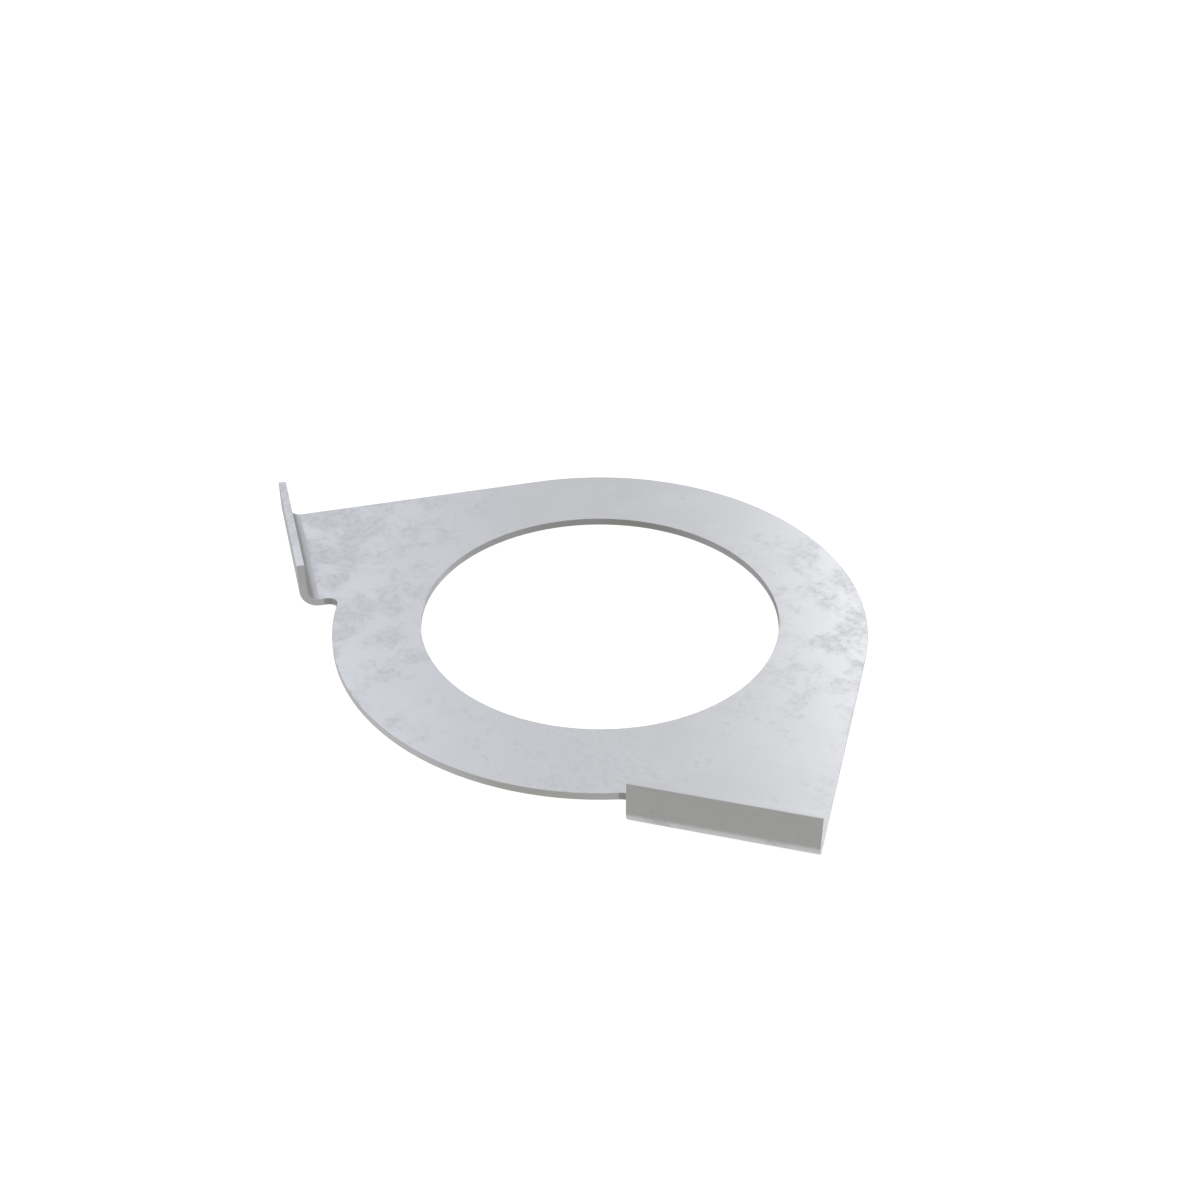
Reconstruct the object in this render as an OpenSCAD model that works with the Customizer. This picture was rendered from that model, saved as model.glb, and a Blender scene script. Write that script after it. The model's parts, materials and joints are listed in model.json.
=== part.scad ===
// Thrust washer folded from one piece of sheet metal.
// A flat ring carries two arms that leave its outer edge on tangents, and each arm ends in a tab folded up.
// Origin at the centre of the hole on the underside, +Z up, with the two tabs on the -Y side of the ring.

/* [Ring] */
// Diameter of the hole that the shaft passes through
bore_d = 90; // [50:1:110]
// Diameter of the ring's outer edge
ring_d = 134; // [112:1:200]
// Thickness of the sheet
sheet_t = 2; // [0.8:0.1:3]

/* [Arms] */
// Angle between the two arms
arm_spread = 60; // [30:1:120]
// Width of an arm and of its tab
arm_w = 42; // [20:1:54]
// Radius of the inside corner where an arm leaves the ring
corner_r = 2.5; // [0.5:0.25:3.5]

/* [Tabs] */
// How far a tab's outer face stands past the ring's outer edge, measured along its arm
tab_reach = 5.2; // [5:0.1:20]
// Height of a tab's free edge above the underside of the sheet
tab_h = 13; // [8:0.5:40]
// Inside radius of the fold between an arm and its tab
fold_r = 3; // [0.5:0.1:3.5]

/* [Hidden] */
$fn = 180;
zinc = "#c6c9cd";

ring_r = ring_d / 2;
// Distance from the hole's centre to the line of an arm's inner side
side_offset = ring_r - arm_w;
// Outer radius of the fold, and the distance along the arm at which the fold starts
fold_outer_r = fold_r + sheet_t;
fold_start = ring_r + tab_reach - fold_outer_r;
// Largest inside corner that still ends before the fold starts
corner_limit = (fold_start ^ 2 - ring_r ^ 2 + side_offset ^ 2) / (2 * (ring_r + side_offset));
corner = min(corner_r, corner_limit);
// Centre of the corner's round, along and across the arm: it touches the arm's side and the ring's edge
corner_across = side_offset - corner;
corner_along = sqrt((ring_r + corner) ^ 2 - corner_across ^ 2);

// Puts a shape made for an arm along +X on both arms, as mirror images about the plane X = 0
module on_both_arms() {
    for (side = [0, 1])
        mirror([side, 0, 0])
            rotate([0, 0, arm_spread / 2 - 90])
                children();
}

// Flat part of an arm, with its outer edge on the ring's tangent
module arm_outline() {
    translate([0, side_offset])
        square([fold_start, arm_w]);
}

// Metal that rounds the inside corner between the arm's inner side and the ring
module corner_outline() {
    difference() {
        polygon([
            [0, 0],
            [corner_along, corner_across],
            [corner_along, side_offset],
            [0, side_offset]
        ]);
        translate([corner_along, corner_across])
            circle(r = corner);
    }
}

// Outline of the sheet that stays flat
module sheet_outline() {
    difference() {
        union() {
            circle(r = ring_r);
            on_both_arms() {
                arm_outline();
                corner_outline();
            }
        }
        circle(d = bore_d);
    }
}

// Quarter ring in which the sheet turns from flat to upright, centred on the fold's axis
module fold_profile() {
    intersection() {
        difference() {
            circle(r = fold_outer_r);
            circle(r = fold_r);
        }
        translate([0, -fold_outer_r])
            square(fold_outer_r);
    }
}

// Side view of the fold and of the upright tab above it
module tab_profile() {
    translate([0, fold_outer_r]) {
        fold_profile();
        translate([fold_r, 0])
            square([sheet_t, tab_h - fold_outer_r]);
    }
}

// Fold and tab over the whole width of the arm
module folded_tab() {
    translate([fold_start, ring_r, 0])
        rotate([90, 0, 0])
            linear_extrude(height = arm_w)
                tab_profile();
}

module washer_plate() {
    color(zinc)
        union() {
            linear_extrude(height = sheet_t)
                sheet_outline();
            on_both_arms()
                folded_tab();
        }
}

washer_plate();
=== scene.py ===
import json
import math

import bpy
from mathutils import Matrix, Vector


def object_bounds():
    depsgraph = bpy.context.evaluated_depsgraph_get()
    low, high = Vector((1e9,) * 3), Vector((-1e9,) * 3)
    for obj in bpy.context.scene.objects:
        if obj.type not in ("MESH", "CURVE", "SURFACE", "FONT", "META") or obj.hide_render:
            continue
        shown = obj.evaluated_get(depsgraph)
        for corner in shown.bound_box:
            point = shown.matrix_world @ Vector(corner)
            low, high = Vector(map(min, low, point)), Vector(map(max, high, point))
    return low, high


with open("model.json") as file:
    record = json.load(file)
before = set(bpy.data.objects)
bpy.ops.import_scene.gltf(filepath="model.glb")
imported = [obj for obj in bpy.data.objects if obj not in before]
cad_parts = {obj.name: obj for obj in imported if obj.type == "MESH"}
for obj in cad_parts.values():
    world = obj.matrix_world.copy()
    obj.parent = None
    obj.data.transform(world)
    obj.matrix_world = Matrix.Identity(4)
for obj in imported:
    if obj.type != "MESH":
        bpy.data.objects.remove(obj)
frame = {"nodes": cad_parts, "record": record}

MM = 0.001
cad_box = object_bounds()
washer = frame["nodes"]["washer_plate"]
mounts = {mount["name"]: mount for mount in frame["record"]["mounts"]}

# Places on the washer, in metres. The right arm runs along ARM and is measured across by ACROSS. All come
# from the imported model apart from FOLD_R and CORNER_R, which repeat part.scad's fold and inside corner.
UP = Vector((0, 0, 1))
BORE_R = mounts["bore"]["dims"]["r_mm"] * MM
RING_R = cad_box[1].y
TAB_TOP = cad_box[1].z
ARM = -Vector(mounts["right_tab_inner_face"]["axis"])
ACROSS = Vector((-ARM.y, ARM.x, 0))
TAB_MIDDLE = Vector(mounts["right_tab_inner_face"]["pos_m"])
TAB_INNER = TAB_MIDDLE.dot(ARM)
FOLD_R = 3 * MM
FOLD_START = TAB_INNER - FOLD_R
# The inside corner's round touches the arm's inner side and the ring's edge
CORNER_R = 2.5 * MM
CORNER_ACROSS = 2 * TAB_MIDDLE.dot(ACROSS) - RING_R - CORNER_R
CORNER_ALONG = math.sqrt((RING_R + CORNER_R) ** 2 - CORNER_ACROSS ** 2)
CORNER_CENTRE = CORNER_ALONG * ARM + CORNER_ACROSS * ACROSS
# How far past its radius a wall of the hole or of a corner may lie, and how much of a tab's height is its rim
HOLE_MARGIN = 1 * MM
CORNER_MARGIN = 0.05 * MM
RIM = 1 * MM

# The part of a face's normal along an axis from which it starts to count as facing that way, and fully does
FACING_FROM = 0.55
FACING_FULLY = 0.85
# How far the normal leans towards the hole, up to 1, where a fold's painted shade and rougher zinc start and
# are full, and where the painted shade's darkest part does. Towards the tab the painted shade and rougher
# zinc fade out as the normal's upward part falls through FOLD_FADE.
FOLD_LEAN = (0.02, 0.20)
DEEP_FOLD_LEAN = (0.25, 0.70)
FOLD_FADE = (0.0, 0.55)

# Edges: points this near each other are joined, faces within FLAT_WITHIN degrees of each other are one flat,
# and edges of SHARP_FROM degrees or more are eased
JOINED_WITHIN = 0.001 * MM
FLAT_WITHIN = 0.5
SHARP_FROM = 40
EASED_BY = 0.12 * MM
EASED_STEPS = 2
SHADING_WEIGHT = 50

# Linear colours of the finish
DARKER_ZINC = (0.595, 0.605, 0.627, 1)
LIGHTER_ZINC = (0.610, 0.620, 0.643, 1)
MATT_ZINC = (0.541, 0.551, 0.571, 1)
SCUFFED_ZINC = (0.40, 0.40, 0.41, 1)
# The next two are painted shade: the inside of a fold darkened, most in its deepest part, as shade in a
# crease
SHALLOW_FOLD_PAINTED_SHADE = (0.585, 0.587, 0.607, 1)
DEEP_FOLD_PAINTED_SHADE = (0.365, 0.367, 0.378, 1)
CUT_WALL = (0.600, 0.603, 0.609, 1)
# Painted shade: the walls of the hole and of the inside corners, darker than the other cut walls as shade in
# a recess
INNER_WALL_PAINTED_SHADE = (0.355, 0.355, 0.362, 1)
# How much of the colour under them a scuff and a cut wall cover
SCUFF_COVER = 0.5
CUT_COVER = 0.8
# Roughness of the plain zinc, what a matt patch adds to it, and that of the folds
ZINC_ROUGHNESS = 0.31
PATCH_ROUGHNESS = 0.18
FOLD_ROUGHNESS = 0.75
# The fine grain all over: its size in mm, and its height and strength as bump
GRAIN_SIZE = 0.9
GRAIN_HEIGHT = 0.01 * MM
GRAIN_STRENGTH = 0.25

# Which parts of the noise the matt patches and the scuffed spots come from, in mm
PATCHES_SHIFT = (120, 392, 0)
SCUFFS_SHIFT = (40, 15, 0)
# Where the zinc has clouded most: the x and y of each broad area's middle, and its radius, in mm. An area
# fades in from the first of CLOUDY_FADE to the second, in times its radius.
CLOUDY_AREAS = ((41, 33, 41), (-51, -29, 45), (-80, -34, 18), (40, -39, 14), (37, -42, 17))
CLOUDY_FADE = (1.3, 0.7)
# What a cloudy area adds to the patches' noise, and what is added to it everywhere
CLOUDY_GAIN = 0.09
PATCHES_BASE = -0.06

# Camera: where it looks and from where, its lens and sensor in mm, and how near and far it sees in metres
LOOK_AT = Vector((0, 0, TAB_TOP / 2))
CAMERA_AZIMUTH = -45
CAMERA_ELEVATION = 35.264
CAMERA_DISTANCE = 417.35 * MM
LENS = 50
SENSOR = 36
NEAREST = 0.01
FARTHEST = 20

# The table: its width in metres, how far it lies under the washer, its glow and its colour
TABLE_SIZE = 12
TABLE_DROP = 0.1 * MM
TABLE_GLOW = 0.85
TABLE_COLOUR = (0.35, 0.35, 0.35, 1)

# The studio's light: what surrounds the table above and below, and soft panels in front of that, each over
# those before it. A panel has a first and last compass direction and a lowest and highest elevation, in
# degrees, and a brightness in red, green and blue. It fades over PANEL_EDGE degrees either side of its edge.
WHITE = (1, 1, 1, 1)
ABOVE = (0.95, 0.95, 0.95)
BELOW = (0.66, 0.645, 0.65)
PANEL_EDGE = 2
ALL_ROUND = 360
PANELS = {
    "low_wall": (0, 360, 0, 25, (0.77, 0.765, 0.77)),
    "ceiling": (0, 360, 62, 90, (0.71, 0.71, 0.71)),
    "side_softbox": (92, 111, 25, 62, (1.63, 1.62, 1.63)),
    "right_softbox": (111, 125, 13, 39, (2.83, 2.81, 2.81)),
    "between_softboxes": (125, 142, 25, 57, (0.715, 0.715, 0.71)),
    "left_softbox": (142, 180, 25, 69, (1.205, 1.225, 1.30)),
    "low_right": (5, 60, -62, 0, (0.75, 0.74, 0.73)),
    "reflector": (60, 120, -62, 0, (1.06, 1.04, 1.08)),
    "low_gap": (138, 158, -62, 0, (0.30, 0.30, 0.30)),
    "low_left": (185, 240, -62, 0, (0.74, 0.73, 0.74)),
    "dark_front": (262, 312, -62, 0, (0.512, 0.502, 0.462)),
    "dim_front": (312, 365, -62, 0, (0.60, 0.59, 0.58)),
    "under_table": (0, 360, -90, -62, (0.83, 0.79, 0.78)),
}


def direction(azimuth, elevation):
    """Unit vector towards a compass direction, counter-clockwise from +X, and a height, both in degrees."""
    a, e = math.radians(azimuth), math.radians(elevation)
    return Vector((math.cos(a) * math.cos(e), math.sin(a) * math.cos(e), math.sin(e)))


class Nodes:
    """Short forms for building a node tree. All but add and put give the output of the node that they add."""

    def __init__(self, tree):
        self.tree = tree
        tree.nodes.clear()

    def add(self, kind, **settings):
        """Adds a node and gives the node itself."""
        node = self.tree.nodes.new(kind)
        for name, value in settings.items():
            setattr(node, name, value)
        return node

    def put(self, socket, value):
        """Links value to a socket if it is an output, and otherwise sets it."""
        if isinstance(value, bpy.types.NodeSocket):
            self.tree.links.new(value, socket)
        else:
            socket.default_value = value

    def math(self, operation, *values):
        node = self.add("ShaderNodeMath", operation=operation)
        for socket, value in zip(node.inputs, values):
            self.put(socket, value)
        return node.outputs[0]

    def vector(self, operation, *values, output="Vector"):
        node = self.add("ShaderNodeVectorMath", operation=operation)
        for socket, value in zip(node.inputs, values):
            self.put(socket, value)
        return node.outputs[output]

    def dot(self, a, b):
        return self.vector("DOT_PRODUCT", a, tuple(b), output="Value")

    def level(self, vector):
        """The vector without its upward part."""
        return self.vector("MULTIPLY", vector, (1, 1, 0))

    def step(self, value, low, high, to_low=0.0, to_high=1.0):
        """Goes smoothly from to_low to to_high as value goes from low to high."""
        node = self.add("ShaderNodeMapRange", interpolation_type="SMOOTHSTEP")
        for name, x in (("Value", value), ("From Min", low), ("From Max", high),
                        ("To Min", to_low), ("To Max", to_high)):
            self.put(node.inputs[name], x)
        return node.outputs["Result"]

    def mix(self, factor, a, b):
        """Goes from colour a to colour b. Inputs 6 and 7 of the node and its output 2 are for colours."""
        node = self.add("ShaderNodeMix", data_type="RGBA")
        for socket, value in zip((node.inputs[0], node.inputs[6], node.inputs[7]), (factor, a, b)):
            self.put(socket, value)
        return node.outputs[2]

    def noise(self, place, size, detail=2.0, roughness=0.5):
        """Noise whose features are about size across, in the units of place."""
        node = self.add("ShaderNodeTexNoise")
        for name, x in (("Vector", place), ("Scale", 1 / size), ("Detail", detail), ("Roughness", roughness)):
            self.put(node.inputs[name], x)
        return node.outputs["Fac"]


def on_right_half(n, place, normal):
    """Place and normal as the washer's right half has them, mirrored where they are on the left."""
    side = n.math("SIGN", n.dot(place, (1, 0, 0)))
    mirror = n.add("ShaderNodeCombineXYZ")
    for socket, value in zip(mirror.inputs, (side, 1, 1)):
        n.put(socket, value)
    return (n.vector("MULTIPLY", place, mirror.outputs[0]),
            n.vector("MULTIPLY", normal, mirror.outputs[0]))


def cut_walls(n, normal, on_tab):
    """1 on the walls where the sheet was cut: every upright wall, but on a tab only those at its two ends."""
    upright = n.step(n.math("ABSOLUTE", n.dot(normal, UP)), FACING_FULLY, FACING_FROM)
    tab_end = n.step(n.math("ABSOLUTE", n.dot(normal, ACROSS)), FACING_FROM, FACING_FULLY)
    return n.math("ADD", n.math("MULTIPLY", upright, n.math("SUBTRACT", 1.0, on_tab)),
                  n.math("MULTIPLY", tab_end, on_tab))


def by_hole_or_corner(n, place):
    """1 out to the hole's wall, and out to the wall of the inside corner's round."""
    level = n.level(place)
    from_centre = n.vector("LENGTH", level, output="Value")
    from_corner = n.vector("DISTANCE", level, tuple(CORNER_CENTRE), output="Value")
    in_hole = n.math("LESS_THAN", from_centre, BORE_R + HOLE_MARGIN)
    in_corner = n.math("LESS_THAN", from_corner, CORNER_R + CORNER_MARGIN)
    return n.math("MAXIMUM", in_hole, in_corner)


def place_masks(n, place, normal):
    """Masks that are 1 on parts of the sheet: its cut walls, the hole's and corners' walls, and the folds."""
    place, normal = on_right_half(n, place, normal)
    on_tab = n.math("GREATER_THAN", n.dot(place, ARM), FOLD_START)
    cut = cut_walls(n, normal, on_tab)
    # The walls of the hole and the inside corners, which get painted shade
    inner_cut = n.math("MULTIPLY", cut, by_hole_or_corner(n, place))

    # A fold's inside gets painted shade and rougher zinc, and deep in the fold the painted shade is darkest
    lean = n.dot(normal, -ARM)
    not_yet_tab = n.step(n.dot(normal, UP), *FOLD_FADE)
    under_rim = n.math("LESS_THAN", n.dot(place, UP), TAB_TOP - RIM)
    in_fold = n.math("MULTIPLY", n.math("MULTIPLY", n.step(lean, *FOLD_LEAN), not_yet_tab),
                     n.math("MULTIPLY", under_rim, on_tab))
    deep_in_fold = n.step(lean, *DEEP_FOLD_LEAN)
    return {"cut": cut, "inner_cut": inner_cut, "in_fold": in_fold, "deep_in_fold": deep_in_fold}


def cloudy_areas(n, in_mm):
    """1 in the broad areas where the zinc has clouded, more where they overlap, fading to 0 around them."""
    starts, full = CLOUDY_FADE
    inside = 0.0
    for x, y, radius in CLOUDY_AREAS:
        away = n.vector("DISTANCE", in_mm, (x, y, 0), output="Value")
        inside = n.math("ADD", inside, n.step(away, starts * radius, full * radius))
    return inside


def matt_patches(n, in_mm):
    """Up to 1 where the zinc is matt: ragged clouds a few millimetres across, broken up by finer specks."""
    place = n.vector("ADD", in_mm, PATCHES_SHIFT)
    spread = n.math("MULTIPLY_ADD", cloudy_areas(n, in_mm), CLOUDY_GAIN, PATCHES_BASE)
    ragged = n.math("ADD", n.noise(place, size=9, detail=4.0, roughness=0.75), spread)
    clouds = n.step(ragged, low=0.46, high=0.62)
    specks = n.step(n.noise(place, size=1.8, roughness=0.7), low=0.38, high=0.62, to_low=0.4)
    return n.math("MULTIPLY", clouds, specks)


def scuff_marks(n, in_mm):
    """1 on a few small scuffed spots, each a cluster of fine specks."""
    place = n.vector("ADD", in_mm, SCUFFS_SHIFT)
    spots = n.step(n.noise(place, size=11, detail=1.0), low=0.70, high=0.76)
    specks = n.step(n.noise(in_mm, size=0.7, detail=1.0), low=0.56, high=0.66)
    return n.math("MULTIPLY", spots, specks)


def zinc_colour(n, in_mm, patches, masks):
    """Zinc's broad tones, patches and scuffs, the folds' painted shade, and cut walls over all, with painted
    shade in the hole and corners.
    """
    shades = n.step(n.noise(in_mm, size=20, detail=6.0, roughness=0.65), low=0.38, high=0.62)
    # Painted shade inside the folds, darkest in their deepest part
    fold_painted_shade = n.mix(masks["deep_in_fold"], SHALLOW_FOLD_PAINTED_SHADE, DEEP_FOLD_PAINTED_SHADE)
    zinc = n.mix(shades, DARKER_ZINC, LIGHTER_ZINC)
    zinc = n.mix(patches, zinc, MATT_ZINC)
    zinc = n.mix(n.math("MULTIPLY", scuff_marks(n, in_mm), SCUFF_COVER), zinc, SCUFFED_ZINC)
    zinc = n.mix(masks["in_fold"], zinc, fold_painted_shade)
    zinc = n.mix(n.math("MULTIPLY", masks["cut"], CUT_COVER), zinc, CUT_WALL)
    # Painted shade on the walls of the hole and the inside corners
    return n.mix(n.math("MULTIPLY", masks["inner_cut"], CUT_COVER), zinc, INNER_WALL_PAINTED_SHADE)


def zinc_roughness(n, patches, masks):
    """Rougher on the matt patches, and roughest in the folds."""
    roughness = n.math("MULTIPLY_ADD", patches, PATCH_ROUGHNESS, ZINC_ROUGHNESS)
    to_fold = n.math("SUBTRACT", FOLD_ROUGHNESS, roughness)
    return n.math("MULTIPLY_ADD", masks["in_fold"], to_fold, roughness)


def grain(n, in_mm):
    """The surface's normal with the zinc's fine grain."""
    bump = n.add("ShaderNodeBump")
    n.put(bump.inputs["Height"], n.noise(in_mm, size=GRAIN_SIZE, detail=3.0))
    bump.inputs["Strength"].default_value = GRAIN_STRENGTH
    bump.inputs["Distance"].default_value = GRAIN_HEIGHT
    return bump.outputs["Normal"]


def galvanised_steel():
    """Zinc-coated sheet: cloudy matt patches, fine grain, scuffs, rougher folds and barer cut walls, painted
    shade in the folds, hole and corners.
    """
    material = bpy.data.materials.new("galvanised_sheet_finish")
    material.use_nodes = True
    n = Nodes(material.node_tree)
    coordinates = n.add("ShaderNodeTexCoord")
    place = coordinates.outputs["Object"]
    in_mm = n.vector("SCALE", place)
    in_mm.node.inputs["Scale"].default_value = 1 / MM
    masks = place_masks(n, place, coordinates.outputs["Normal"])
    patches = matt_patches(n, in_mm)

    surface = n.add("ShaderNodeBsdfPrincipled")
    surface.inputs["Metallic"].default_value = 1.0
    n.put(surface.inputs["Base Color"], zinc_colour(n, in_mm, patches, masks))
    n.put(surface.inputs["Roughness"], zinc_roughness(n, patches, masks))
    n.put(surface.inputs["Normal"], grain(n, in_mm))
    n.put(n.add("ShaderNodeOutputMaterial").inputs["Surface"], surface.outputs["BSDF"])
    return material


def ease_edges(obj):
    """Takes the razor edge off the sheet, as shearing does, and shades the curved walls smoothly."""
    weld = obj.modifiers.new("join_seams", "WELD")
    weld.merge_threshold = JOINED_WITHIN
    flat = obj.modifiers.new("whole_flats", "DECIMATE")
    flat.decimate_type = "DISSOLVE"
    flat.angle_limit = math.radians(FLAT_WITHIN)
    bevel = obj.modifiers.new("eased_edges", "BEVEL")
    bevel.limit_method = "ANGLE"
    bevel.angle_limit = math.radians(SHARP_FROM)
    bevel.width = EASED_BY
    bevel.segments = EASED_STEPS
    shading = obj.modifiers.new("shading", "WEIGHTED_NORMAL")
    shading.weight = SHADING_WEIGHT


def table_material():
    """Pale, matt and softly glowing as seen from above, and clear from underneath."""
    material = bpy.data.materials.new("pale_table")
    material.use_nodes = True
    n = Nodes(material.node_tree)
    glow = n.add("ShaderNodeEmission")
    glow.inputs["Strength"].default_value = TABLE_GLOW
    matt = n.add("ShaderNodeBsdfDiffuse")
    matt.inputs["Color"].default_value = TABLE_COLOUR
    top = n.add("ShaderNodeAddShader")
    n.put(top.inputs[0], glow.outputs[0])
    n.put(top.inputs[1], matt.outputs[0])
    either = n.add("ShaderNodeMixShader")
    n.put(either.inputs[0], n.add("ShaderNodeNewGeometry").outputs["Backfacing"])
    n.put(either.inputs[1], top.outputs[0])
    n.put(either.inputs[2], n.add("ShaderNodeBsdfTransparent").outputs[0])
    n.put(n.add("ShaderNodeOutputMaterial").inputs["Surface"], either.outputs[0])
    return material


def floor():
    """Table top just under the washer. It shows in no reflection and blocks no light."""
    bpy.ops.mesh.primitive_plane_add(size=TABLE_SIZE, location=(0, 0, -TABLE_DROP))
    plane = bpy.context.object
    plane.name = "floor"
    plane.visible_glossy = False
    plane.visible_shadow = False
    plane.data.materials.append(table_material())


def panel_mask(n, compass, elevation, first, last, low, high):
    """1 towards a panel, 0 past its soft edges. Compass is level and of length 1, elevation in radians."""
    edge = math.radians(PANEL_EDGE)
    bottom, top = math.radians(low), math.radians(high)
    over_bottom = n.step(elevation, bottom - edge, bottom + edge)
    under_top = n.step(elevation, top + edge, top - edge)
    mask = n.math("MULTIPLY", over_bottom, under_top)
    if last - first < ALL_ROUND:
        half = math.radians((last - first) / 2)
        turn = n.math("ARCCOSINE", n.dot(compass, direction((first + last) / 2, 0)))
        mask = n.math("MULTIPLY", mask, n.step(turn, half + edge, half - edge))
    return mask


def studio_world():
    """Soft light from all round the table. The camera itself sees plain white behind the washer."""
    world = bpy.data.worlds.new("studio")
    world.use_nodes = True
    bpy.context.scene.world = world
    n = Nodes(world.node_tree)
    ray = n.add("ShaderNodeTexCoord").outputs["Generated"]
    elevation = n.math("ARCSINE", n.dot(ray, UP))
    compass = n.vector("NORMALIZE", n.level(ray))
    edge = math.radians(PANEL_EDGE)
    light = n.mix(n.step(elevation, -edge, edge), (*BELOW, 1), (*ABOVE, 1))
    for first, last, low, high, colour in PANELS.values():
        light = n.mix(panel_mask(n, compass, elevation, first, last, low, high), light, (*colour, 1))
    seen = n.add("ShaderNodeLightPath").outputs["Is Camera Ray"]
    background = n.add("ShaderNodeBackground")
    n.put(background.inputs["Color"], n.mix(seen, light, WHITE))
    n.put(n.add("ShaderNodeOutputWorld").inputs["Surface"], background.outputs[0])


def camera():
    """The camera at the photo's viewing angle, aimed at the hole's middle at half the washer's height."""
    data = bpy.data.cameras.new("camera")
    data.lens = LENS
    data.sensor_width = SENSOR
    data.clip_start = NEAREST
    data.clip_end = FARTHEST
    eye = bpy.data.objects.new("camera", data)
    bpy.context.scene.collection.objects.link(eye)
    place = LOOK_AT + CAMERA_DISTANCE * direction(CAMERA_AZIMUTH, CAMERA_ELEVATION)
    eye.location = place
    eye.rotation_euler = (LOOK_AT - place).to_track_quat("-Z", "Y").to_euler()
    bpy.context.scene.camera = eye


camera()
studio_world()
floor()
ease_edges(washer)
washer.material_slots[0].material = galvanised_steel()
bpy.context.scene.view_settings.view_transform = "Standard"
